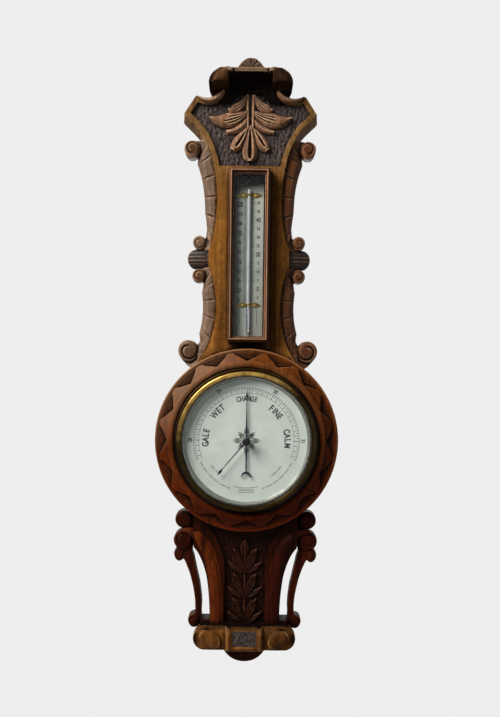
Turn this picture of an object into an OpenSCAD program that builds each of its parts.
// Banjo barometer: a carved oak wall case with an aneroid dial below a boxed thermometer.
// Millimetres. The origin is the hole of the wall hanger, on the wall plane.
// +Z is up, and the front faces -Y.
// Modules are drawn about the dial axis: x across, z up, and a depth measured forward from the wall.

/* [Case board] */
// Thickness of the oak back board
board_t = 28; // [25:1:32]
// Narrowest width of the neck board
neck_waist_w = 98; // [90:1:106]
// Width of the neck board between the two side bosses
neck_boss_w = 121; // [112:1:130]
// Height of the side bosses above the rim of the dial ring
boss_rise = 136; // [125:1:147]
// Width across the ears of the head
head_w = 200; // [190:1:212]
// Height of the head above the foot of its panel
head_h = 117; // [109:1:126]
// Width of the top edge of the head, under the cornice
head_top_w = 84; // [76:1:92]
// Width of the raised border round the head panel
border_w = 7.5; // [5:0.5:10]
// Depth of the sunk panels of the head and the apron
panel_sink = 6; // [4:0.5:9]
// Drop of the board's foot below the rim of the dial ring
apron_drop = 176; // [164:1:190]
// Narrowest width of the apron board
apron_waist_w = 105; // [97:1:112]
// Width of the sunk panel of the apron
apron_panel_w = 61; // [54:1:68]
// Height of the board's foot
foot_h = 40; // [36:1:46]

/* [Scrolls] */
// Width of a side scroll's band at its waist
band_w = 14.5; // [12:0.5:17]
// How far the scrolls lie behind the face of the board
scroll_set = 9; // [7:0.5:12]
// Height of the crown along a scroll's band
band_crown = 4; // [2:0.5:6]
// Number of cross cuts on a scroll's band
band_cuts = 5; // [3:1:7]
// Radius of the small volutes beside the bosses
volute_r = 10; // [8:0.5:11]
// Radius of the volutes at the foot of the neck
foot_volute_r = 15.5; // [12:0.5:18]
// Height of a volute's button above its scroll
button_h = 8; // [5:0.5:10]
// Width of the pierced arms of the apron
arm_w = 9.5; // [8:0.5:12]
// Width of the slot between an arm and the apron, at its foot
slot_w = 12.5; // [10:0.5:15]
// Radius of the volutes on the pierced arms
arm_volute_r = 15; // [13:0.5:17]
// How far the top of an arm's slot lies inside the rim of the dial ring
arm_set = 58; // [52:1:64]
// Length of a side boss, outward from the neck
boss_l = 33; // [28:1:38]
// Height of a side boss
boss_h = 26; // [22:1:30]

/* [Cornice and foot] */
// Radius of the lobes of the cornice
lobe_r = 22.5; // [19:0.5:25]
// Width of the cornice across its lobes
cornice_w = 125; // [116:1:134]
// Height of the cornice above the top edge of the board
cornice_h = 22; // [19:1:26]
// Projection of the cornice in front of the board
cornice_out = 28; // [24:1:34]
// Width of the crest
crest_w = 39; // [34:1:46]
// Height of the crest
crest_h = 21; // [17:1:26]
// Thickness of the crest
crest_t = 11; // [8:1:14]
// Height of the bottom block
block_h = 35; // [31:1:39]
// Width of the bottom block
block_w = 153; // [146:1:162]
// Projection of the bottom block in front of the board
block_out = 16; // [12:1:20]
// Height of the pendant below the bottom block
pendant_h = 24; // [18:1:30]
// Width of the pendant
pendant_w = 61; // [54:1:68]

/* [Dial ring] */
// Outer diameter of the carved ring
ring_d = 274; // [264:1:288]
// Width of the bead round the ring's rim
bead_w = 4; // [3:0.5:6]
// Width of the chip-carved zone
chip_w = 14; // [11:0.5:16]
// Number of carved chips round the ring
chips = 16; // [12:1:20]
// Depth of a chip at its inner point
chip_deep = 6; // [4:0.5:8]
// How far the ring's lip stands in front of the dial
ring_proud = 5; // [4:0.5:8]
// How far the ring's rim lies behind its lip
ring_fall = 10; // [6:0.5:13]

/* [Bezel and dial] */
// Width of the carved ring, from its rim to the bezel
ring_w = 29; // [27:0.5:33]
// Width of the bezel with the sight ring inside it
bezel_w = 15; // [13:0.5:18]
// Gap between the dial and the glass
glass_gap = 9; // [8:0.5:12]
// Thickness of the dial glass
glass_t = 3; // [2.5:0.5:4]
// Thickness of the dial card
card_t = 0.6; // [0.4:0.1:1]
// Length of the pressure hand, axis to tip
hand_l = 79; // [70:1:84]
// Length of the pressure hand's tail
tail_l = 46; // [38:1:54]
// Length of the set hand, axis to tip
set_hand_l = 67; // [58:1:76]
// Radius of the setting knob
knob_r = 6; // [5:0.5:8]
// Height of the setting knob
knob_h = 8; // [6:0.5:12]

/* [Thermometer] */
// Width of the thermometer box
box_w = 62; // [56:1:68]
// Height of the thermometer box
box_h = 260; // [240:1:275]
// Depth of the thermometer box
box_t = 20; // [18:1:24]
// Width of the box's rails
rail_w = 7.5; // [6.5:0.5:9]
// Gap between the dial ring and the thermometer box
box_gap = 10; // [6:1:16]
// Thickness of the scale plate
scale_t = 2.5; // [2:0.5:4]
// Radius of the thermometer tube
tube_r = 2.4; // [2:0.1:2.8]
// Radius of the thermometer bulb
bulb_r = 3; // [2.9:0.1:3.5]
// Length of the thermometer bulb
bulb_l = 38; // [30:1:46]
// Height of the mercury thread above the bulb
thread_l = 92; // [60:1:130]

/* [Movement] */
// Radius of the hole in the board for the movement
movement_hole_r = 76; // [74:1:80]
// Thickness of the wooden back cover
cover_t = 5; // [4:0.5:6]
// Wall thickness of the movement pan
pan_t = 1.2; // [1:0.1:1.6]
// Thickness of the movement's base plate
plate_t = 2; // [1.6:0.1:2.6]
// Radius of the vacuum capsule
capsule_r = 30; // [26:1:31]
// Height of the vacuum capsule
capsule_h = 12; // [10:0.5:13]
// Length of the lever from its spring to its tip
lever_l = 64; // [60:1:66]
// Length of the rocker's crank
crank_l = 8; // [7:0.5:9]
// Length of the rocker's chain arm
chain_arm_l = 16; // [14:0.5:17]
// Radius at which the chain winds on the roller
chain_r = 2.76; // [2.5:0.02:3.2]
// Radius of the hand arbor
arbor_r = 1.1; // [0.9:0.1:1.3]

/* [Hanger and fasteners] */
// Drop of the hanger's hole below the top edge of the board
hanger_drop = 32; // [30:0.5:40]
// Radius of the hole in the wall hanger
hanger_hole_r = 4.5; // [3.5:0.25:6]
// Thickness of the wall hanger
hanger_t = 2.5; // [2:0.25:3.5]
// Radius of a wood screw's shank
screw_r = 1.6; // [1.3:0.1:2]
// Running clearance of pins and pivots in their holes
run_gap = 0.08; // [0.05:0.01:0.1]
// Clearance round fixed fasteners
fix_gap = 0.1; // [0.05:0.05:0.2]

/* [Hidden] */
$fn = 64;

// Carved case: places that follow from the sizes above
ring_r = ring_d / 2;
neck_waist = neck_waist_w / 2;
neck_boss = neck_boss_w / 2;
boss_z = ring_r + boss_rise;
box_z0 = ring_r + box_gap;
panel_z = box_z0 + box_h + 0.8 * border_w;
head_top = head_top_w / 2;
head_z = panel_z + head_h;
ear_x = head_w / 2;
ear_tip = [ear_x - 0.085 * head_w, head_z - 0.098 * head_h];
ear_side = [ear_x, head_z - 0.325 * head_h];
ear_foot = [ear_x - 0.015 * head_w, head_z - 0.359 * head_h];
shoulder = [neck_waist + 0.199 * neck_waist_w, panel_z + 0.359 * head_h];
boss_top = [neck_boss, boss_z + boss_h / 2];
boss_foot = [neck_boss, boss_z - boss_h / 2];
foot_angle = 52;
neck_foot = (ring_r - bead_w / 2) * [cos(foot_angle), sin(foot_angle)];
scroll_d = board_t - scroll_set;
foot_z = -(ring_r + apron_drop);
foot_top = foot_z + foot_h;
slot_top = [ring_r - arm_set, -(ring_r + 0.1534 * apron_drop)];
slot_foot_in = [apron_waist_w / 2, foot_top];
slot_foot_out = [apron_waist_w / 2 + slot_w, foot_top];
disc_r = ring_r - 1.5 * bead_w;
apron_side_top = [slot_top.x, -sqrt(pow(disc_r, 2) - pow(slot_top.x, 2))];
block_z = foot_z + block_h / 2;
curve_n = 14;
turn_n = 12;

// Volute centres of the neck's scrolls, as [x, z]
head_volute = shoulder + volute_r * [2, -1.35];
upper_volute = boss_top + volute_r * [1.5, 1.25];
lower_volute = boss_foot + volute_r * [1.55, -1.25];
foot_volute = (ring_r + 1.58 * foot_volute_r) * [cos(foot_angle + 4), sin(foot_angle + 4)];
arm_volute = slot_top + arm_volute_r * [1, 0.633];
arm_knob_r = 0.9 * arm_volute_r;
arm_knob_x = slot_top.x + 0.967 * arm_volute_r;
arm_knob = [arm_knob_x, -sqrt(pow(ring_r + 1.3 * arm_knob_r, 2) - pow(arm_knob_x, 2))];
arm_bead_r = 0.5 * arm_volute_r;
arm_bead = arm_volute + arm_volute_r * [0.4, -1.367];
arm_foot_r = 0.9 * arm_w;
arm_foot = slot_foot_out + arm_w * [1.2, -0.32];

// Depths in front of the wall, from the back of the movement to the glass
pan_d = cover_t + 1;
plate_d = pan_d + pan_t;
work_d = plate_d + plate_t;
capsule_d = work_d + 2.8;
post_d = capsule_d + capsule_h;
bar_d = post_d + 2;
bar_t = 4;
spring_t = 1.2;
lever_d = bar_d + bar_t + spring_t;
lever_t = 1.6;
arbor_bridge_d = lever_d + lever_t + 2.2;
cock_t = 1.5;
roller_d = arbor_bridge_d + cock_t + 0.5;
roller_h = 3.2;
hairspring_d = roller_d + roller_h + 0.5;
hairspring_h = 0.6;
hairspring_turns = 4;
hairspring_pitch = 1.7;
hairspring_w = 0.35;
hairspring_r = arbor_r + 0.05;
cock_d = hairspring_d + hairspring_h + 0.5;
dial_plate_d = cock_d + cock_t + 0.5;
dial_plate_t = 1.5;
card_d = dial_plate_d + dial_plate_t;
dial_d = card_d + card_t;
hand_d = dial_d + 2.5;
hand_t = 0.8;
glass_d = dial_d + glass_gap;
set_hand_d = glass_d - 2.6;
set_face_d = set_hand_d + hand_t;
washer_top_d = glass_d - 0.1;

// Dial ring and bezel
ring_lip_d = dial_d + ring_proud;
ring_rim_d = ring_lip_d - ring_fall;
bezel_r = ring_r - ring_w;
bezel_seat_d = ring_lip_d - 4;
bezel_fit = 0.4;
bezel_pin_r = bezel_r - 4;
bezel_pin_angles = [90:120:330];
ring_bore_r = bezel_r - 6;
chip_out_r = ring_r - bead_w - 0.5;
chip_in_r = chip_out_r - chip_w;
glass_r = bezel_r - 9.5;
glass_fit = 0.25;
sight_r = bezel_r - bezel_w;
dial_r = bezel_r - 10.5;
dial_hole_r = 3;
set_hole_r = 3.2;
set_pin_r = 1.5;
set_angle = -140;

// Movement places, as [x, z]
pan_r = movement_hole_r - 5;
pan_flange_r = movement_hole_r + 9;
plate_r = pan_r - pan_t - 1.5;
bridge_z0 = 16;
bridge_z1 = capsule_r + 12;
bridge_foot_x = capsule_r + 9;
spring_root_z = bridge_z0 - 2;
lever_tip_z = spring_root_z - lever_l;
rocker_z = lever_tip_z - crank_l;
rocker_d = roller_d + roller_h / 2 - chain_arm_l;
rocker_post_x = 16;
rocker_pivot_r = 0.9;
arbor_pillar_x = capsule_r + 20;
arbor_pivot_r = 0.7;
cock_pillar_x = 20;
adjuster_z = capsule_r + 6;
dial_pillar_r = plate_r - 12;
dial_pillar_angles = [58, 122, 232, 308];
base_screw_angles = [90, 205, 335];
base_screw_r = plate_r - 6;
base_screw_shank_r = 1.2;
adjuster_r = 2;

// Thermometer places
box_d = board_t;
inner_w = box_w - 2 * rail_w;
inner_z0 = box_z0 + rail_w;
inner_h = box_h - 2 * rail_w;
backing_t = 2.5;
scale_d = box_d + backing_t;
scale_w = inner_w - 4;
scale_h = inner_h - 8;
scale_z0 = inner_z0 + 1;
tube_d = scale_d + scale_t + bulb_r;
tube_z0 = scale_z0 + 3;
tube_l = scale_h - 20;
tube_bore_r = 0.8;
tube_wall = 0.7;
mercury_gap = 0.05;
pane_t = 2;
pane_bite = 2;
pane_d = box_d + box_t - 8;
clip_w = 0.767 * scale_w;
clip_h = 7.5;
clip_t = 0.7;
clip_pin_r = 0.8;
saddle_r = tube_r + 0.1;
clip_wing = (clip_w / 2 - saddle_r) / 2;
clip_z = [tube_z0 + bulb_l + 6, tube_z0 + tube_l - 8];

// Hanger and screws
hang_z = head_z - hanger_drop;
hanger_w = 26;
hanger_h = 58;
hanger_screw_z = 21;
screw_head_r = 2 * screw_r;
screw_l = 11;
cover_r = movement_hole_r + 8;
cover_screw_r = movement_hole_r + 4;
pan_screw_r = movement_hole_r + 4.5;
cover_screw_angles = [45:90:315];
pan_screw_angles = [30:120:270];

// Points on curves
function lerp(a, b, t) = a + (b - a) * t;
function polar(c, r, a) = c + r * [cos(a), sin(a)];
function angle_to(c, p) = atan2(p.y - c.y, p.x - c.x);
function arc(c, r, a0, a1, n) = [for (i = [0:n]) polar(c, r, lerp(a0, a1, i / n))];
function spiral(c, r0, r1, a0, a1, n) =
  [for (i = [0:n]) polar(c, lerp(r0, r1, i / n), lerp(a0, a1, i / n))];
function bezier_at(p, q, r, s, t) =
  pow(1 - t, 3) * p + 3 * t * pow(1 - t, 2) * q + 3 * t * t * (1 - t) * r + pow(t, 3) * s;
function bezier(p, q, r, s, n) = [for (i = [0:n]) bezier_at(p, q, r, s, i / n)];
function reversed(list) = [for (i = [len(list) - 1:-1:0]) list[i]];
function mirrored(list) = [for (p = list) [-p.x, p.y]];

// A drawn-in curve from p down to q, whose middle lies at x = waist
function waisted(p, q, waist, n) =
  let (c = (8 * waist - p.x - q.x) / 6, h = p.y - q.y)
  bezier(p, [c, p.y - 0.25 * h], [c, q.y + 0.25 * h], q, n);

// Extrudes a front-view outline between two depths in front of the wall
module slab(d0, d1) {
  translate([0, -d0, 0]) rotate([90, 0, 0]) linear_extrude(d1 - d0) children();
}

// Turns a [radius, depth] profile about the dial axis, or about an axis through p
module turned(p = [0, 0]) {
  translate([p.x, 0, p.y]) rotate([90, 0, 0]) rotate_extrude() children();
}

// A round bar along the depth at p, between two depths
module bar(p, r, d0, d1) {
  translate([p.x, -d0, p.y]) rotate([90, 0, 0]) cylinder(r = r, h = d1 - d0);
}

module left_and_right() {
  children();
  mirror([1, 0, 0]) children();
}

// Moves the dial-axis drawing to the hanger's frame
module from_dial() {
  translate([0, 0, -hang_z]) children();
}

// A slotted wood screw at p: its head's face at depth d, its shank running to the wall (1) or forward (-1)
module wood_screw(p, d, way = 1) {
  head_h = screw_r;
  slot = [2 * screw_head_r + 1, 0.6, 0.6];
  translate([p.x, -d, p.y]) rotate([way > 0 ? -90 : 90, 0, 0]) difference() {
    union() {
      cylinder(r1 = screw_head_r, r2 = screw_r, h = head_h);
      cylinder(r = screw_r, h = screw_l);
    }
    cube(slot, center = true);
  }
}

// The hole that a wood screw needs, with its countersink
module screw_hole(p, d, way = 1) {
  translate([p.x, -d, p.y]) rotate([way > 0 ? -90 : 90, 0, 0]) union() {
    cylinder(r1 = screw_head_r + fix_gap, r2 = screw_r + fix_gap, h = screw_r);
    cylinder(r = screw_r + fix_gap, h = screw_l + 0.5);
  }
}

// Oak case: outlines

// Right edges of the neck above and below the side boss
upper_edge = waisted(shoulder, boss_top, neck_waist, curve_n);
lower_edge = waisted(boss_foot, neck_foot, neck_waist, curve_n);
ear_edge = concat(
  bezier([head_top, head_z - 0.017 * head_h], [head_top + 0.03 * head_w, head_z - 0.145 * head_h],
         ear_tip - [0.085 * head_w, 0.077 * head_h], ear_tip, curve_n),
  [ear_side],
  bezier(ear_foot, ear_foot - [0.065 * head_w, 0.103 * head_h],
         shoulder + [0.02 * head_w, 0.085 * head_h], shoulder, curve_n)
);
slot_run = slot_top - slot_foot_in;
slot_in_edge = bezier(slot_top, slot_top - [0.566 * slot_run.x, 0.147 * slot_run.y],
                      slot_foot_in + [0, 0.468 * slot_run.y], slot_foot_in, curve_n);
slot_out_edge = bezier(slot_top, slot_top + [0.264 * slot_run.x, -0.073 * slot_run.y],
                       slot_foot_out + [0.16 * slot_w, 0.44 * slot_run.y], slot_foot_out, curve_n);

// The whole board without its scrolls: head, neck, a round behind the dial ring, apron and foot
module board_outline() {
  right = concat(
    [[head_top, head_z]], ear_edge, upper_edge, lower_edge,
    arc([0, 0], disc_r, foot_angle - 2, angle_to([0, 0], apron_side_top) + 2, 2 * turn_n),
    [apron_side_top], slot_in_edge,
    [slot_foot_out, [slot_foot_out.x, foot_z]]
  );
  polygon(concat(right, reversed(mirrored(right))));
}

// The sunk panel of the apron, between its two plain pilasters
module apron_panel_outline() {
  half = apron_panel_w / 2;
  top = -(ring_r - 2 * bead_w);
  right = bezier([1.918 * half, top], [1.393 * half, top - 0.091 * apron_drop],
                 [half, top - 0.239 * apron_drop], [half, top - 0.398 * apron_drop], curve_n);
  lower = [half, foot_z + block_h];
  polygon(concat(right, [lower], [[-lower.x, lower.y]], reversed(mirrored(right))));
}

// The sunk panel of the head, inside its raised border
module head_panel_outline() {
  intersection() {
    offset(delta = -border_w) board_outline();
    translate([-ear_x, panel_z]) square([head_w, head_h - border_w]);
  }
}

module back_board() {
  cover_gap = 0.2;
  color("saddlebrown") difference() {
    slab(0, board_t) board_outline();
    slab(board_t - panel_sink, board_t + 1) head_panel_outline();
    slab(board_t - panel_sink, board_t + 1) apron_panel_outline();
    bar([0, 0], movement_hole_r, -1, board_t + 1);
    bar([0, 0], cover_r + cover_gap, -1, cover_t);
    for (a = cover_screw_angles) screw_hole(polar([0, 0], cover_screw_r, a), 0, -1);
    for (a = pan_screw_angles) screw_hole(polar([0, 0], pan_screw_r, a), board_t + pan_t);
    slab(-1, hanger_t) translate([0, hang_z]) hanger_outline(cover_gap);
    bar([0, hang_z], hanger_hole_r + 3, 0, hanger_t + 8);
    for (s = [-1, 1]) screw_hole([0, hang_z + s * hanger_screw_z], 0, -1);
  }
}

// A curve from a point p on the neck to the rim of a volute at the angle a, and the way round it
function ease_in(p, lead, c, r, a) =
  let (q = polar(c, r, a), way = [-sin(a), cos(a)])
  bezier(p, p + lead, q - 0.8 * r * way, q, turn_n);
function ease_out(p, lead, c, r, a) =
  let (q = polar(c, r, a), way = [-sin(a), cos(a)])
  bezier(q, q + 0.8 * r * way, p + lead, p, turn_n);

// Outline of one side scroll: the neck's edge, a volute at its foot, its outer edge and a volute at its top
function scroll_outline(edge, top, top_r, foot, foot_r, foot_turn) =
  let (
    lead = [7, 0],
    start_turn = 75,
    last = len(edge) - 1,
    round_top = ease_out(edge[0], lead, top, top_r, start_turn)
  )
  concat(
    [for (i = [0:last - 1]) edge[i]],
    ease_in(edge[last], lead, foot, foot_r, foot_turn),
    arc(foot, foot_r, foot_turn + 8, 502, turn_n),
    scroll_outer(top, top_r, foot, foot_r),
    arc(top, top_r, 238, start_turn + 352, turn_n),
    [for (i = [0:turn_n - 1]) round_top[i]]
  );

// The outer edge of a side scroll's band, upward from its foot volute to its top volute
function scroll_outer(top, top_r, foot, foot_r) =
  let (
    p = polar(foot, foot_r, 150),
    q = polar(top, top_r, 230),
    c = (8 * (neck_waist + band_w) - p.x - q.x) / 6
  )
  bezier(p, [c, lerp(p.y, q.y, 0.25)], [c, lerp(p.y, q.y, 0.75)], q, curve_n);

// Crowned band between two edges, with V cuts across it. Both edges run the same way.
module crowned_band(inner, outer, d, crown) {
  cut_half = 0.012;
  cut_floor = 0.25;
  across = [0.03, 0.16, 0.5, 0.84, 0.97];
  rise = [0.1, 0.62, 1, 0.62, 0.1];
  sunk = 1.5;
  steps = concat(
    [for (i = [0:8]) [0.06 + 0.88 * i / 8, 1]],
    [for (i = [1:band_cuts], k = [-1:1]) [0.06 + 0.88 * (i - 0.45) / band_cuts + k * cut_half,
                                         k == 0 ? cut_floor : 1]]
  );
  stations = sorted_pairs(steps);
  n = len(across) + 2;
  points = [for (s = stations)
    let (p = along(inner, s[0]), q = along(outer, s[0]), edge_d = d - sunk)
    each concat(
      [[lerp(p, q, across[0]).x, -edge_d, lerp(p, q, across[0]).y]],
      [for (k = [0:len(across) - 1])
        let (w = lerp(p, q, across[k])) [w.x, -(d + crown * rise[k] * s[1]), w.y]],
      [[lerp(p, q, across[4]).x, -edge_d, lerp(p, q, across[4]).y]]
    )];
  last = (len(stations) - 1) * n;
  faces = concat(
    [for (i = [0:len(stations) - 2], k = [0:n - 1], half = [0:1])
      let (a = i * n + k, b = i * n + (k + 1) % n)
      half == 0 ? [a, b, a + n] : [b, b + n, a + n]],
    [for (k = [1:n - 2]) [0, k + 1, k]],
    [for (k = [1:n - 2]) [last, last + k, last + k + 1]]
  );
  polyhedron(points, faces, convexity = 6);
}

// The point at a share t of the way along a list of points
function along(list, t) =
  let (f = t * (len(list) - 1), i = min(floor(f), len(list) - 2))
  lerp(list[i], list[i + 1], f - i);

// Pairs in order of their first number
function sorted_pairs(list) = len(list) <= 1 ? list :
  let (
    pivot = list[floor(len(list) / 2)][0],
    low = [for (p = list) if (p[0] < pivot) p],
    same = [for (p = list) if (p[0] == pivot) p],
    high = [for (p = list) if (p[0] > pivot) p]
  )
  concat(sorted_pairs(low), [same[0]], sorted_pairs(high));

// The turned button of a volute, with a rounded rim, a groove and a domed eye
module volute_button(p, r, d, h) {
  rim = 0.24 * r;
  eye = 0.55 * r;
  turned(p) polygon(concat(
    [[0, d - 2], [r - 0.2, d - 2]],
    [[r - 0.2, d + 0.35 * h]],
    arc([r - 0.2 - rim, d + 0.35 * h], rim, 20, 150, 6),
    [[eye + 0.12 * r, d + 0.3 * h]],
    [for (i = [0:5]) let (a = 15 * i + 10) [eye * cos(a), d + 0.35 * h + 0.6 * h * sin(a)]],
    [[0, d + 0.95 * h]]
  ));
}

module side_scroll(edge, top, top_r, foot, foot_r, foot_turn) {
  color("peru") union() {
    slab(0, scroll_d) polygon(scroll_outline(edge, top, top_r, foot, foot_r, foot_turn));
    crowned_band(edge, reversed(scroll_outer(top, top_r, foot, foot_r)), scroll_d, band_crown);
    volute_button(top, top_r, scroll_d, button_h);
    volute_button(foot, foot_r, scroll_d, button_h);
  }
}

module upper_scroll_right() {
  side_scroll(upper_edge, head_volute, volute_r + 0.5, upper_volute, volute_r, 280);
}

module upper_scroll_left() {
  mirror([1, 0, 0]) upper_scroll_right();
}

module lower_scroll_right() {
  side_scroll(lower_edge, lower_volute, volute_r, foot_volute, foot_volute_r, 330);
}

module lower_scroll_left() {
  mirror([1, 0, 0]) lower_scroll_right();
}

// Fluted bead beside the neck, between the two scrolls
module side_boss_right() {
  half = boss_h / 2 - 0.3;
  flute_r = 1.3;
  front = scroll_d + 3;
  barrel_r = 1.4 * boss_h;
  color("sienna") translate([neck_boss, 0, boss_z]) difference() {
    intersection() {
      slab(0, front) union() {
        translate([0, -half]) square([boss_l - half, 2 * half]);
        translate([boss_l - half, 0]) circle(r = half);
      }
      translate([-1, barrel_r - front, 0]) rotate([0, 90, 0]) cylinder(r = barrel_r, h = boss_l + 2);
    }
    for (k = [-1:1])
      translate([3, -front, k * boss_h / 5]) rotate([0, 90, 0]) cylinder(r = flute_r, h = boss_l);
  }
}

module side_boss_left() {
  mirror([1, 0, 0]) side_boss_right();
}

// Pierced C scroll beside the apron: knob, volute, bead, arm and a small foot volute
module apron_arm_right() {
  d = scroll_d + 1;
  out_top = polar(arm_volute, arm_volute_r, 285);
  out_foot = slot_foot_out + [arm_w, -foot_h / 5];
  outer = bezier(out_foot, out_foot + [0, 0.44 * slot_run.y], out_top - arm_volute_r * [0.8, 1.333],
                 out_top, curve_n);
  color("saddlebrown") union() {
    slab(0, d) {
      polygon(concat([apron_side_top], slot_out_edge, [slot_foot_out - [0, foot_h / 2]], outer,
                     [arm_volute, arm_knob]));
      translate(arm_volute) circle(r = arm_volute_r);
      translate(arm_knob) circle(r = arm_knob_r);
      translate(arm_bead) circle(r = arm_bead_r);
      translate(arm_foot) circle(r = arm_foot_r);
    }
    volute_button(arm_volute, arm_volute_r, d, button_h);
    volute_button(arm_knob, arm_knob_r, d, button_h);
    volute_button(arm_bead, arm_bead_r, d, button_h / 2);
    volute_button(arm_foot, arm_foot_r, d, button_h / 2);
  }
}

module apron_arm_left() {
  mirror([1, 0, 0]) apron_arm_right();
}

// Carved foliage

// A leaf outline along +x: length, breadth, sideways bow, and how far along it is broadest
module leaf_outline(l, w, bow, broad) {
  n = 12;
  power = ln(0.5) / ln(broad);
  middle = [for (i = [0:n]) let (t = i / n) [l * t, 4 * bow * t * (1 - t)]];
  half = [for (i = [0:n]) let (t = i / n) w / 2 * pow(sin(180 * pow(t, power)), 0.8)];
  polygon(concat(
    [for (i = [0:n]) middle[i] + [0, half[i]]],
    [for (i = [n - 1:-1:1]) middle[i] - [0, half[i]]]
  ));
}

// A crowned leaf with a cut vein, rising h above depth d, from p towards the angle a
module leaf(p, a, l, w, bow, h, d, broad = 0.45) {
  crown_r = (w * w / 4 + h * h / 4) / h;
  vein = 1.8;
  translate([p.x, -d, p.y]) rotate([0, -a, 0]) difference() {
    intersection() {
      slab(0, h) leaf_outline(l, w, bow, broad);
      translate([-1, crown_r - h, bow * 0.8]) rotate([0, 90, 0]) cylinder(r = crown_r, h = l + 2);
    }
    translate([0.15 * l, -h, bow * 0.8]) rotate([45, 0, 0]) translate([0, -vein / 2, -vein / 2])
      cube([0.68 * l, vein, vein]);
  }
}

// The spray of leaves on the head panel, hanging from under the cornice
module leaf_carving() {
  d = board_t - panel_sink;
  k = head_h / 100;
  top = head_z - border_w - 0.2;
  h = panel_sink + 2.5;
  stem_z = top - 54 * k;
  color("peru") union() {
    left_and_right() {
      leaf([-3 * k, top - k], 219, 31 * k, 12.8 * k, 3.4 * k, panel_sink - 0.3, d, 0.62);
      leaf([-2.6 * k, top - 24.2 * k], 186, 49.6 * k, 22.2 * k, -2.6 * k, h, d, 0.5);
      leaf([-3.4 * k, top - 33.6 * k], 209, 30.8 * k, 10.3 * k, 2.6 * k, h - 1, d, 0.6);
      leaf([-3.4 * k, top - 44.7 * k], 234, 36.8 * k, 16.2 * k, 1.7 * k, h - 0.5, d, 0.62);
      slab(d, d + h - 2) polygon([[-0.7 * k, top], [-5.1 * k, top], [-3.9 * k, stem_z], [-0.7 * k, stem_z]]);
    }
    difference() {
      leaf([0, top - 42.1 * k], 270, 45.3 * k, 18.8 * k, 0, h, d, 0.66);
      translate([0, -d, top - 72.9 * k]) rotate([90, 0, 0]) cylinder(r1 = 1.3 * k, r2 = 3.8 * k, h = h + 1);
    }
  }
}

// The husk drop on the apron panel
module apron_carving() {
  d = board_t - panel_sink;
  h = panel_sink - 0.5;
  top = -(ring_r + 0.08 * apron_drop);
  foot = foot_z + block_h + 0.2;
  pitch = (top - foot) / 3.35;
  stem_w = 0.085 * pitch;
  color("saddlebrown") union() {
    leaf([0, top - 0.71 * pitch], 90, 0.71 * pitch, 0.395 * pitch, 0, h, d);
    left_and_right() for (row = [0:2]) {
      leaf([0.026 * pitch, top - pitch * (row + 1.28)], 63, 0.95 * pitch, 0.37 * pitch, 0.105 * pitch, h, d);
      leaf([0.053 * pitch, top - pitch * (row + 1.35)], 30, 0.75 * pitch, 0.24 * pitch, 0.08 * pitch,
           h - 1, d);
    }
    slab(d, d + h - 2.5) translate([-stem_w / 2, foot]) square([stem_w, top - 0.53 * pitch - foot]);
  }
}

// An oval boss at p, its long axis at the angle a, rising h above depth d
module oval_boss(p, a, l, w, h, d) {
  root = 2;
  crown_r = (w * w / 4 + h * h) / (2 * h);
  translate([p.x, -d, p.y]) rotate([0, -a, 0]) intersection() {
    slab(-root, h) polygon([for (i = [0:23]) [l / 2 * cos(15 * i), w / 2 * sin(15 * i)]]);
    union() {
      translate([-l, crown_r - h, 0]) rotate([0, 90, 0]) cylinder(r = crown_r, h = 2 * l);
      slab(-root, 0.8) square([2 * l, 2 * w], center = true);
    }
  }
}

// Cornice: a canopy with a lobe at each end, hooked over the top edge of the board
module cornice() {
  front = board_t + cornice_out;
  lobe = [cornice_w / 2 - lobe_r, head_z + cornice_h - lobe_r];
  bar_z = head_z + 1;
  cove_r = 0.68 * cornice_h;
  cove_half = lobe.x - 0.42 * lobe_r;
  fillet_x = lobe.x - 0.82 * lobe_r;
  fillet_r = 3.2;
  color("sienna") union() {
    difference() {
      slab(board_t, front) union() {
        left_and_right() translate(lobe) circle(r = lobe_r);
        translate([-lobe.x, bar_z]) square([2 * lobe.x, head_z + cornice_h - bar_z]);
      }
      translate([-cove_half, -front, bar_z]) rotate([0, 90, 0]) cylinder(r = cove_r, h = 2 * cove_half);
    }
    slab(0, board_t) translate([-head_top, head_z]) square([head_top_w, cornice_h]);
    left_and_right() {
      oval_boss(lobe + [1, 1], -42, 1.5 * lobe_r, 0.95 * lobe_r, 5, front);
      translate([fillet_x, fillet_r + 1.8 - front, bar_z + 5]) cylinder(r = fillet_r, h = cornice_h - 7);
      translate([fillet_x + 2.5 * fillet_r, fillet_r + 0.8 - front, bar_z + 3])
        cylinder(r = fillet_r + 0.2, h = cornice_h - 5);
    }
  }
}

// Crest: a small carved shell on top of the cornice
module crest() {
  z0 = head_z + cornice_h;
  back_d = board_t + cornice_out - crest_t - 9;
  half = crest_w / 2;
  flute_r = 1.5;
  right = bezier([half, 0], [half - 6, crest_h * 0.35], [half * 0.55, crest_h], [0, crest_h], curve_n);
  color("sienna") translate([0, -back_d, z0]) difference() {
    slab(0, crest_t) polygon(concat(right, [for (i = [curve_n - 1:-1:0]) [-right[i].x, right[i].y]]));
    for (a = [-58:29:58])
      translate([0, -crest_t - 0.4, 1]) rotate([0, a, 0]) translate([0, 0, crest_h * 0.28])
        cylinder(r1 = 0.7, r2 = flute_r + 0.8, h = crest_h);
  }
}

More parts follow.
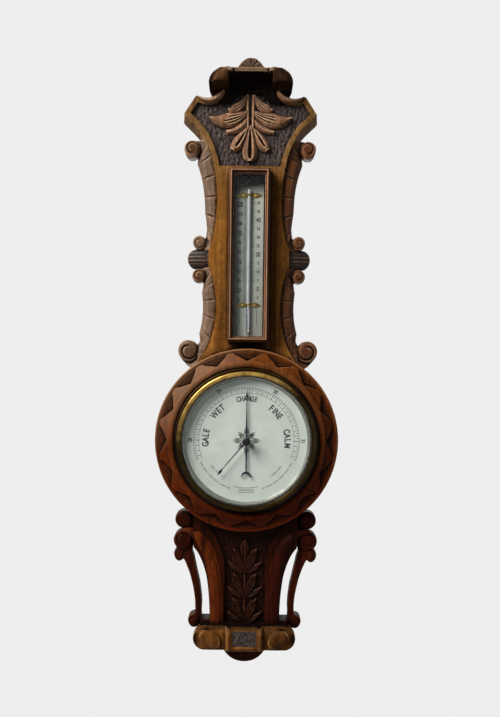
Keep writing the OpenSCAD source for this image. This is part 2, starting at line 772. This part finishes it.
// Bottom block: a bolster with rolled ends and a sunk middle panel
module bottom_block() {
  end_r = block_h / 2;
  end_x = block_w / 2 - end_r;
  face = board_t + block_out;
  middle = 0.183 * block_w;
  panel = [0.235 * block_w, 0.657 * block_h];
  bead_r = 3.6;
  color("peru") translate([0, 0, block_z]) difference() {
    union() {
      slab(board_t, face) union() {
        left_and_right() translate([end_x, 0]) circle(r = end_r);
        translate([-end_x, -end_r]) square([2 * end_x, block_h]);
      }
      slab(face - 1, face + 5) translate([-middle, -end_r]) square([2 * middle, block_h]);
      left_and_right() {
        oval_boss([3 - end_x, 0], -32, 1.75 * end_r, 1.25 * end_r, 5.5, face);
        translate([middle - 1.25 * bead_r, -face - 3.5, 1.5 - end_r]) cylinder(r = bead_r, h = block_h - 3);
      }
    }
    slab(face + 2.5, face + 10) translate(-panel / 2) square(panel);
  }
}

// Pendant: a domed half round under the foot
module pendant() {
  half = pendant_w / 2;
  r = (half * half + pendant_h * pendant_h) / (2 * pendant_h);
  dome_r = 2.2 * half;
  color("saddlebrown") translate([0, 0, foot_z]) intersection() {
    slab(0, board_t) intersection() {
      translate([0, r - pendant_h]) circle(r = r);
      translate([-half, -pendant_h - 1]) square([pendant_w, pendant_h + 1]);
    }
    translate([0, dome_r - board_t, -3]) sphere(r = dome_r);
  }
}

// One sunk triangle of the dial ring, its point towards the dial, drawn at the top of the ring
module chip() {
  half_a = 180 / chips - 0.6;
  surface_d = ring_rim_d + 1;
  floor_in_d = surface_d + (ring_lip_d - 2.5 - surface_d) - chip_deep;
  tilt = atan((floor_in_d - surface_d) / chip_w);
  rim = arc([0, -chip_out_r], chip_out_r, 90 - half_a, 90 + half_a, 6);
  translate([0, -surface_d, chip_out_r]) rotate([tilt, 0, 0])
    slab(0, 25) polygon(concat(rim, [[0, -chip_w]]));
}

// Turned and chip-carved ring round the dial
module dial_ring() {
  seat_r = bezel_r + bezel_fit;
  roll_c = [(chip_in_r + seat_r) / 2, ring_lip_d - 2.5];
  roll_r = (chip_in_r - seat_r) / 2;
  bead_r = bead_w / 2;
  color("sienna") difference() {
    turned() polygon(concat(
      [[ring_bore_r, board_t], [ring_r - 1, board_t], [ring_r, board_t + 1], [ring_r, ring_rim_d]],
      arc([ring_r - bead_r, ring_rim_d], bead_r, 10, 170, 6),
      [[chip_out_r, ring_rim_d + 1], [chip_in_r, ring_lip_d - 2.5]],
      [for (i = [0:8]) roll_c + [roll_r * cos(22.5 * i), 2.5 * sin(22.5 * i)]],
      [[seat_r, bezel_seat_d], [ring_bore_r, bezel_seat_d]]
    ));
    for (i = [0:chips - 1]) rotate([0, i * 360 / chips, 0]) chip();
    for (a = bezel_pin_angles)
      bar(polar([0, 0], bezel_pin_r, a), screw_r / 2 + fix_gap, bezel_seat_d - 6, bezel_seat_d + 1);
  }
}

// Back of the case

module back_cover() {
  color("tan") difference() {
    bar([0, 0], cover_r, 0, cover_t);
    bar([0, adjuster_z], 5, -1, cover_t + 1);
    for (a = cover_screw_angles) screw_hole(polar([0, 0], cover_screw_r, a), 0, -1);
  }
}

module back_cover_screws() {
  color("goldenrod") for (a = cover_screw_angles) wood_screw(polar([0, 0], cover_screw_r, a), 0, -1);
}

module hanger_outline(grow = 0) {
  half = hanger_w / 2 + grow;
  straight = hanger_h / 2 - hanger_w / 2;
  translate([-half, -straight]) square([2 * half, 2 * straight]);
  for (s = [-1, 1]) translate([0, s * straight]) circle(r = half);
}

module wall_hanger() {
  color("goldenrod") difference() {
    slab(0, hanger_t) translate([0, hang_z]) hanger_outline();
    bar([0, hang_z], hanger_hole_r, -1, hanger_t + 1);
    for (s = [-1, 1]) screw_hole([0, hang_z + s * hanger_screw_z], 0, -1);
  }
}

module hanger_screws() {
  color("goldenrod") for (s = [-1, 1]) wood_screw([0, hang_z + s * hanger_screw_z], 0, -1);
}

// Thermometer

// Profile of a box rail: distance in from its outer edge, and depth. The notch holds the pane.
module rail_profile() {
  groove = pane_d - box_d;
  slack = 0.15;
  polygon([
    [0, 0], [rail_w, 0], [rail_w, groove - slack], [rail_w - pane_bite - slack, groove - slack],
    [rail_w - pane_bite - slack, groove + pane_t + slack], [rail_w, groove + pane_t + slack],
    [rail_w, box_t - 4], [rail_w - 2.5, box_t], [2.5, box_t], [1.5, box_t - 2], [0, box_t - 3.5]
  ]);
}

// A mitred rail of length l along +x, its outer edge on z = 0. Rails lap a little at the mitre.
module rail(l) {
  lap = 0.3;
  mitre = rail_w - lap;
  intersection() {
    translate([0, -box_d, 0]) rotate([90, 0, 90]) linear_extrude(l) rotate(90) rail_profile();
    slab(box_d - 1, box_d + box_t + 1)
      polygon([[0, 0], [l, 0], [l, lap], [l - mitre, rail_w], [mitre, rail_w], [0, lap]]);
  }
}

module thermometer_box() {
  color("maroon") translate([0, 0, box_z0]) union() {
    translate([-box_w / 2, 0, 0]) rail(box_w);
    translate([box_w / 2, 0, box_h]) rotate([0, 180, 0]) rail(box_w);
    translate([box_w / 2, 0, 0]) rotate([0, -90, 0]) rail(box_h);
    translate([-box_w / 2, 0, box_h]) rotate([0, 90, 0]) rail(box_h);
  }
}

module thermometer_backing() {
  slack = 0.1;
  color("maroon") slab(box_d, scale_d) translate([slack - inner_w / 2, inner_z0 + slack])
    square([inner_w - 2 * slack, inner_h - 2 * slack]);
}

module thermometer_glass() {
  w = inner_w + 2 * pane_bite;
  color("lightblue", 0.3) slab(pane_d, pane_d + pane_t)
    translate([-w / 2, inner_z0 - pane_bite]) square([w, inner_h + 2 * pane_bite]);
}

module scale_plate() {
  color("ivory") slab(scale_d, scale_d + scale_t)
    translate([-scale_w / 2, scale_z0]) square([scale_w, scale_h]);
}

// Profile of the tube and its bulb, or of the space inside them, from the foot of the bulb
module tube_profile(r, bulb, l) {
  taper = 5;
  polygon(concat(
    [[0, 0]],
    [for (i = [0:4]) [bulb * sin(22.5 * i), bulb * (1 - cos(22.5 * i))]],
    [[bulb, bulb_l], [r, bulb_l + taper], [r, l], [0, l]]
  ));
}

module thermometer_tube() {
  color("white", 0.4) translate([0, -tube_d, tube_z0]) difference() {
    rotate_extrude() tube_profile(tube_r, bulb_r, tube_l);
    translate([0, 0, tube_wall]) rotate_extrude()
      tube_profile(tube_bore_r, bulb_r - tube_wall, tube_l - 6);
  }
}

module mercury() {
  wall = tube_wall + mercury_gap;
  color("silver") translate([0, -tube_d, tube_z0 + wall]) rotate_extrude()
    tube_profile(tube_bore_r - mercury_gap, bulb_r - wall, bulb_l + thread_l);
}

// Brass clips: two leaf-shaped wings on the scale plate and a saddle over the tube
module tube_clips() {
  face = scale_d + scale_t;
  wing = clip_wing;
  color("gold") for (z = clip_z) translate([0, 0, z]) difference() {
    union() {
      slab(face, face + clip_t) left_and_right() intersection() {
        translate([saddle_r + wing, 2 * wing - clip_h / 2]) circle(r = 2 * wing);
        translate([saddle_r + wing, clip_h / 2 - 2 * wing]) circle(r = 2 * wing);
        translate([saddle_r - 1, -clip_h]) square([clip_w, 2 * clip_h]);
      }
      translate([0, -tube_d, -1.5]) difference() {
        union() {
          cylinder(r = saddle_r + clip_t, h = 3);
          translate([-saddle_r - clip_t, 0, 0]) cube([2 * (saddle_r + clip_t), tube_d - face, 3]);
        }
        translate([0, 0, -1]) cylinder(r = saddle_r, h = 5);
        translate([-saddle_r, 0, -1]) cube([2 * saddle_r, tube_d, 5]);
      }
    }
    left_and_right() bar([saddle_r + wing, 0], clip_pin_r + fix_gap / 2, 0, face + 2);
  }
}

module clip_pins() {
  root = scale_d + scale_t;
  face = root + clip_t;
  color("gold") for (z = clip_z) left_and_right() turned([saddle_r + clip_wing, z]) polygon([
    [0, root], [clip_pin_r, root], [clip_pin_r, face], [clip_pin_r + 0.5, face],
    [clip_pin_r + 0.2, face + 0.6], [0, face + 0.8]
  ]);
}

// Bezel, glass and hands

module bezel() {
  lip_r = glass_r - 2;
  front = glass_d + glass_t;
  inner_r = glass_r + glass_fit;
  color("goldenrod") difference() {
    turned() polygon(concat(
      [[inner_r, bezel_seat_d], [bezel_r, bezel_seat_d], [bezel_r, bezel_seat_d + 4.5]],
      bezier([bezel_r - 0.6, bezel_seat_d + 5.5], [bezel_r - 2.5, bezel_seat_d + 6],
             [bezel_r - 3.5, front + 1], [bezel_r - 5.5, front + 2], 8),
      bezier([bezel_r - 7, front + 2.4], [bezel_r - 9, front + 2.4], [lip_r + 1, front + 1.5],
             [lip_r, front + 0.8], 6),
      [[lip_r, front + 0.05], [inner_r, front + 0.05]]
    ));
    for (a = bezel_pin_angles)
      bar(polar([0, 0], bezel_pin_r, a), screw_r / 2 + fix_gap, bezel_seat_d - 1, bezel_seat_d + 3.5);
  }
}

// Pins that hold the bezel on the ring, from behind its flange
module bezel_screws() {
  color("goldenrod") for (a = bezel_pin_angles)
    bar(polar([0, 0], bezel_pin_r, a), screw_r / 2, bezel_seat_d - 5.8, bezel_seat_d + 3.2);
}

module sight_ring() {
  outer = glass_r + glass_fit - 0.3;
  color("silver") turned() polygon([
    [sight_r, dial_d], [outer, dial_d], [outer, glass_d], [outer - 1, glass_d], [sight_r, dial_d + 1.5]
  ]);
}

module dial_glass() {
  bevel = 5;
  edge = 1.4;
  color("lightblue", 0.25) turned() polygon([
    [set_hole_r, glass_d], [glass_r, glass_d], [glass_r, glass_d + edge],
    [glass_r - bevel, glass_d + glass_t], [set_hole_r, glass_d + glass_t]
  ]);
}

// Knob and arbor of the set hand, through the hole in the glass
module setting_knob() {
  d = glass_d + glass_t + 0.1;
  stem_r = set_hole_r - run_gap;
  color("black") turned() polygon(concat(
    [[0, set_hand_d], [set_pin_r, set_hand_d], [set_pin_r, washer_top_d]],
    [[stem_r, washer_top_d], [stem_r, d]],
    [[knob_r * 0.75, d], [knob_r * 0.6, d + 0.3 * knob_h]],
    arc([knob_r - 1.5, d + 0.75 * knob_h - 1], 1.5, -60, 80, 6),
    [[0, d + knob_h]]
  ));
}

module set_hand() {
  boss_r = 4;
  spear = set_hand_l - 12;
  right = [[1, 0], [0.55, spear - 2], [2.3, spear + 5], [0.8, spear + 8], [0, set_hand_l]];
  tail = [[-0.8, -14], [0.8, -14]];
  color("darkslategray") rotate([0, set_angle, 0]) difference() {
    union() {
      bar([0, 0], boss_r, set_hand_d, set_face_d);
      slab(set_hand_d, set_face_d)
        polygon(concat(tail, right, [for (i = [3:-1:0]) [-right[i].x, right[i].y]]));
    }
    bar([0, 0], set_pin_r + run_gap / 2, set_hand_d - 1, set_face_d + 1);
  }
}

module set_washer() {
  hole_r = set_pin_r + run_gap / 2;
  color("gold") turned() polygon([
    [hole_r, set_face_d], [4, set_face_d], [5, washer_top_d - 0.4], [5, washer_top_d], [hole_r, washer_top_d]
  ]);
}

// Pressure hand: a blued pointer with a spade near its tip and a crescent on its tail
module pressure_hand() {
  boss_r = 3.6;
  hub_r = 2.2;
  horn_r = 7;
  color("darkslategray") difference() {
    union() {
      slab(hand_d, hand_d + hand_t) {
        circle(r = boss_r);
        polygon([[-1.5, 0], [-0.6, hand_l - 16], [-1.9, hand_l - 13], [-0.6, hand_l - 8], [0, hand_l],
                 [0.6, hand_l - 8], [1.9, hand_l - 13], [0.6, hand_l - 16], [1.5, 0]]);
        polygon([[-1.5, 0], [-1, -tail_l], [1, -tail_l], [1.5, 0]]);
        translate([0, -tail_l - horn_r + 0.6]) difference() {
          circle(r = horn_r);
          translate([0, -2.2]) circle(r = horn_r - 1.2);
          translate([-horn_r - 1, -2 * horn_r]) square([2 * horn_r + 2, 1.5 * horn_r]);
        }
      }
      turned() polygon([
        [0, hand_d - 1.4], [hub_r, hand_d - 1.4], [hub_r, hand_d + hand_t + 0.6], [0, hand_d + hand_t + 0.9]
      ]);
    }
    bar([0, 0], arbor_r + fix_gap / 2, hand_d - 2, hand_d + hand_t);
  }
}

module dial_card() {
  color("whitesmoke") difference() {
    bar([0, 0], dial_r, card_d, dial_d);
    bar([0, 0], dial_hole_r, card_d - 1, dial_d + 1);
  }
}

module dial_plate() {
  color("goldenrod") difference() {
    bar([0, 0], dial_r, dial_plate_d, card_d);
    bar([0, 0], dial_hole_r, dial_plate_d - 1, card_d + 1);
    for (a = dial_pillar_angles) dial_screw_space(polar([0, 0], dial_pillar_r, a), fix_gap);
  }
}

// Movement

module dial_screw_space(p, gap = 0) {
  turned(p) polygon([
    [0, dial_plate_d - 4 - gap], [1 + gap, dial_plate_d - 4 - gap], [1 + gap, dial_plate_d + 0.3],
    [2 + gap, card_d], [0, card_d]
  ]);
}

module dial_screws() {
  color("goldenrod") for (a = dial_pillar_angles) dial_screw_space(polar([0, 0], dial_pillar_r, a));
}

module dial_pillars() {
  color("goldenrod") for (a = dial_pillar_angles) difference() {
    turned(polar([0, 0], dial_pillar_r, a)) polygon([
      [0, work_d], [3.6, work_d], [3.6, work_d + 3], [2.4, work_d + 4.5], [2.4, dial_plate_d - 3],
      [3.4, dial_plate_d - 2], [3.4, dial_plate_d], [0, dial_plate_d]
    ]);
    dial_screw_space(polar([0, 0], dial_pillar_r, a), fix_gap);
  }
}

// Clearance holes for the screws of the base plate, between two depths
module base_screw_holes(d0, d1) {
  for (a = base_screw_angles) bar(polar([0, 0], base_screw_r, a), base_screw_shank_r + fix_gap, d0, d1);
}

// Pressed pan that holds the movement in the hole of the board
module movement_pan() {
  color("darkgoldenrod") difference() {
    turned() polygon([
      [0, pan_d], [pan_r, pan_d], [pan_r, board_t], [pan_flange_r, board_t],
      [pan_flange_r, board_t + pan_t], [pan_r - pan_t, board_t + pan_t],
      [pan_r - pan_t, plate_d], [0, plate_d]
    ]);
    bar([0, adjuster_z], adjuster_r + fix_gap, pan_d - 1, plate_d + 1);
    base_screw_holes(pan_d - 1, plate_d + 1);
    for (a = pan_screw_angles) screw_hole(polar([0, 0], pan_screw_r, a), board_t + pan_t);
  }
}

module pan_screws() {
  color("goldenrod") for (a = pan_screw_angles) wood_screw(polar([0, 0], pan_screw_r, a), board_t + pan_t);
}

module base_plate() {
  color("goldenrod") difference() {
    bar([0, 0], plate_r, plate_d, work_d);
    bar([0, adjuster_z], adjuster_r + run_gap, plate_d - 1, work_d + 1);
    base_screw_holes(plate_d - 1, work_d + 1);
  }
}

module base_screws() {
  r = base_screw_shank_r;
  color("silver") for (a = base_screw_angles) turned(polar([0, 0], base_screw_r, a))
    polygon([[0, pan_d], [r, pan_d], [r, work_d], [2 * r, work_d], [2 * r, work_d + 1.4], [0, work_d + 1.4]]);
}

// Evacuated capsule with corrugated faces, on its stud, with the post that the spring pulls
module vacuum_capsule() {
  stud_r = 4;
  post_r = 3;
  waves = 5;
  n = 40;
  mid = capsule_d + capsule_h / 2;
  half = capsule_h / 2;
  function wave(i) = half - 2.2 + 0.8 * cos(360 * waves * i / n);
  rim = [[capsule_r - 1.5, half - 3.4], [capsule_r, half - 4.4]];
  face = [for (i = [0:n]) [post_r + 2 + (capsule_r - post_r - 4.5) * i / n, wave(i)]];
  upper = concat(face, rim);
  color("silver") union() {
    turned() polygon(concat(
      [[0, mid + half - 1.4]],
      [for (p = upper) [p.x, mid + p.y]],
      [for (p = reversed(upper)) [p.x, mid - p.y]],
      [[0, mid - half + 1.4]]
    ));
    bar([0, 0], stud_r, work_d, mid);
    bar([0, 0], post_r, mid, lever_d - spring_t - 0.2);
    bar([0, 0], 1.4, mid, lever_d + 2.4);
  }
}

// Cast bridge over the capsule, which holds the root of the mainspring
module spring_bridge() {
  leg_w = 10;
  web = 9;
  color("dimgray") union() {
    slab(bar_d, bar_d + bar_t) translate([-bridge_foot_x, bridge_z0])
      square([2 * bridge_foot_x, bridge_z1 - bridge_z0]);
    left_and_right() slab(work_d, bar_d + 0.5) translate([bridge_foot_x - leg_w + 5, bridge_z0])
      square([leg_w - 5, web]);
    left_and_right() slab(work_d, work_d + 3) translate([bridge_foot_x - 5, bridge_z0 - 2])
      square([leg_w, web + 4]);
  }
}

// Leaf spring from the bridge to the capsule's post
module mainspring() {
  root_w = 30;
  tip_w = 16;
  color("lightsteelblue") slab(bar_d + bar_t, lever_d) difference() {
    polygon([[-root_w / 2, bridge_z0 + 12], [root_w / 2, bridge_z0 + 12], [root_w / 2, bridge_z0],
             [tip_w / 2, -14], [-tip_w / 2, -14], [-root_w / 2, bridge_z0]]);
    translate([-1.7, -1.7]) square(3.4);
  }
}

// Knife-edge pin through the capsule's post, on top of the spring
module knife_edge() {
  color("silver") difference() {
    slab(lever_d, lever_d + 1.6) translate([-6, -2]) square([12, 4]);
    bar([0, 0], 1.4 + fix_gap / 2, lever_d - 1, lever_d + 3);
  }
}

// Lever on the free end of the spring, with the link that drives the rocker
module main_lever() {
  tip = lever_tip_z;
  link_d = rocker_d;
  color("goldenrod") union() {
    slab(lever_d + 0.05, lever_d + lever_t) polygon([[-4, -4], [4, -4], [4, -13], [2.2, -18], [1.6, tip - 2],
                                                    [-1.6, tip - 2], [-2.2, -18], [-4, -13]]);
    slab(link_d - 1.2, lever_d + 0.5) translate([-0.9, tip - 0.9]) square([1.8, 1.8]);
    translate([-2.6, -link_d, tip]) rotate([0, 90, 0]) cylinder(r = 0.7, h = 5.2);
  }
}

// Rocker: a shaft across the movement with a crank below the lever and an arm that pulls the chain
module rocker() {
  shaft_r = 1.6;
  shaft_half = rocker_post_x - 2.3;
  pivot_half = rocker_post_x + 1.8;
  eye_r = 2.8;
  chain_x = -chain_r;
  cheek = [1.4, 2.6];
  color("goldenrod") translate([0, -rocker_d, rocker_z]) union() {
    translate([-shaft_half, 0, 0]) rotate([0, 90, 0]) cylinder(r = shaft_r, h = 2 * shaft_half);
    translate([-pivot_half, 0, 0]) rotate([0, 90, 0]) cylinder(r = rocker_pivot_r, h = 2 * pivot_half);
    left_and_right() difference() {
      translate([cheek[0], 0, 0]) rotate([0, 90, 0]) linear_extrude(cheek[1] - cheek[0]) union() {
        translate([0, 0]) rotate(90) translate([0, -1.2]) square([crank_l, 2.4]);
        translate([0, crank_l]) circle(r = eye_r);
      }
      translate([0, 0, crank_l]) rotate([0, 90, 0]) cylinder(r = 1.9, h = 5);
    }
    translate([chain_x - 4.4, -chain_arm_l - 0.8, -0.8]) cube([1.6, chain_arm_l + 0.8, 1.6]);
    translate([chain_x - 4.4, -chain_arm_l - 0.8, -0.8]) cube([4.9, 1.6, 1.6]);
  }
}

module rocker_posts() {
  post_t = 3.6;
  color("goldenrod") left_and_right() difference() {
    union() {
      slab(work_d, rocker_d + 3) translate([rocker_post_x - post_t / 2, rocker_z - 3]) square([post_t, 6]);
      slab(work_d, work_d + 2) translate([rocker_post_x - post_t / 2, rocker_z - 3]) square([post_t, 12]);
    }
    translate([rocker_post_x - post_t, -rocker_d, rocker_z]) rotate([0, 90, 0])
      cylinder(r = rocker_pivot_r + run_gap, h = 2 * post_t);
  }
}

// Fine chain from the rocker's arm to the roller, as links alternately flat and on edge
module chain() {
  d = roller_d + roller_h / 2;
  z0 = rocker_z + 1.4;
  pitch = 2.2;
  links = floor(-z0 / pitch);
  color("silver") union() {
    for (k = [0:links - 1]) translate([-chain_r, -d, z0 + k * pitch])
      rotate([0, 0, k % 2 == 0 ? 0 : 90]) translate([-0.35, -0.2, 0]) cube([0.7, 0.4, pitch + 0.4]);
  }
}

// Hand arbor with the roller that the chain winds on
module hand_arbor() {
  drum_r = chain_r - 0.5;
  flange_r = chain_r + 1.4;
  pivot_r = arbor_pivot_r;
  color("silver") turned() polygon([
    [0, arbor_bridge_d - 0.6], [pivot_r, arbor_bridge_d - 0.6], [pivot_r, arbor_bridge_d + cock_t + 0.2],
    [arbor_r, arbor_bridge_d + cock_t + 0.2], [arbor_r, roller_d], [flange_r, roller_d],
    [flange_r, roller_d + 0.6], [drum_r, roller_d + 0.8], [drum_r, roller_d + roller_h - 0.8],
    [flange_r, roller_d + roller_h - 0.6], [flange_r, roller_d + roller_h], [arbor_r, roller_d + roller_h],
    [arbor_r, hand_d + hand_t], [0, hand_d + hand_t]
  ]);
}

// Flat spiral that takes up the slack of the chain
module hairspring() {
  n = 24 * hairspring_turns;
  r0 = hairspring_r;
  r1 = hairspring_r + hairspring_turns * hairspring_pitch;
  sweep = 360 * hairspring_turns;
  color("lightsteelblue") slab(hairspring_d, hairspring_d + hairspring_h) polygon(concat(
    spiral([0, 0], r0, r1, 0, sweep, n),
    reversed(spiral([0, 0], r0 + hairspring_w, r1 + hairspring_w, 0, sweep, n))
  ));
}

// Bar that carries the foot of the hand arbor, on two pillars
module arbor_bridge() {
  half_w = 5;
  color("goldenrod") difference() {
    union() {
      slab(arbor_bridge_d, arbor_bridge_d + cock_t) {
        translate([-arbor_pillar_x, -half_w]) square([2 * arbor_pillar_x, 2 * half_w]);
        left_and_right() translate([arbor_pillar_x, 0]) circle(r = half_w);
      }
      left_and_right() bar([arbor_pillar_x, 0], 3, work_d, arbor_bridge_d + 0.5);
    }
    bar([0, 0], arbor_pivot_r + run_gap, arbor_bridge_d - 1, cock_d);
  }
}

// Upper cock of the hand arbor, with the stud of the hairspring
module arbor_cock() {
  half_w = 4;
  stud_r = 1.2;
  stud_x = hairspring_r + hairspring_turns * hairspring_pitch + hairspring_w + stud_r;
  color("goldenrod") difference() {
    union() {
      slab(cock_d, cock_d + cock_t) {
        translate([-cock_pillar_x, -half_w]) square([2 * cock_pillar_x, 2 * half_w]);
        left_and_right() translate([cock_pillar_x, 0]) circle(r = half_w);
      }
      left_and_right() bar([cock_pillar_x, 0], 2.5, arbor_bridge_d + cock_t, cock_d + 0.5);
      bar([stud_x, 0], stud_r, hairspring_d, cock_d + 0.5);
    }
    bar([0, 0], arbor_r + run_gap, cock_d - 1, cock_d + cock_t + 1);
  }
}

// Slotted screw, reached through the back cover, that tilts the spring bridge to set the reading
module adjusting_screw() {
  head_r = 4;
  head = [pan_d - 3.2, pan_d - 0.4];
  color("silver") difference() {
    turned([0, adjuster_z]) polygon([
      [0, head[0]], [head_r, head[0]], [head_r, head[1]], [adjuster_r, head[1]],
      [adjuster_r, bar_d - 0.3], [0, bar_d - 0.3]
    ]);
    translate([-6, -head[0] - 0.9, adjuster_z - 0.5]) cube([12, 2, 1]);
  }
}

from_dial() back_board();
from_dial() upper_scroll_left();
from_dial() upper_scroll_right();
from_dial() lower_scroll_left();
from_dial() lower_scroll_right();
from_dial() side_boss_left();
from_dial() side_boss_right();
from_dial() apron_arm_left();
from_dial() apron_arm_right();
from_dial() cornice();
from_dial() crest();
from_dial() leaf_carving();
from_dial() apron_carving();
from_dial() bottom_block();
from_dial() pendant();
from_dial() dial_ring();
from_dial() back_cover();
from_dial() back_cover_screws();
from_dial() wall_hanger();
from_dial() hanger_screws();
from_dial() thermometer_box();
from_dial() thermometer_backing();
from_dial() thermometer_glass();
from_dial() scale_plate();
from_dial() thermometer_tube();
from_dial() mercury();
from_dial() tube_clips();
from_dial() clip_pins();
from_dial() bezel();
from_dial() bezel_screws();
from_dial() sight_ring();
from_dial() dial_glass();
from_dial() setting_knob();
from_dial() set_hand();
from_dial() set_washer();
from_dial() pressure_hand();
from_dial() dial_card();
from_dial() dial_plate();
from_dial() dial_pillars();
from_dial() dial_screws();
from_dial() movement_pan();
from_dial() pan_screws();
from_dial() base_plate();
from_dial() base_screws();
from_dial() vacuum_capsule();
from_dial() spring_bridge();
from_dial() mainspring();
from_dial() knife_edge();
from_dial() main_lever();
from_dial() rocker();
from_dial() rocker_posts();
from_dial() chain();
from_dial() hand_arbor();
from_dial() hairspring();
from_dial() arbor_bridge();
from_dial() arbor_cock();
from_dial() adjusting_screw();
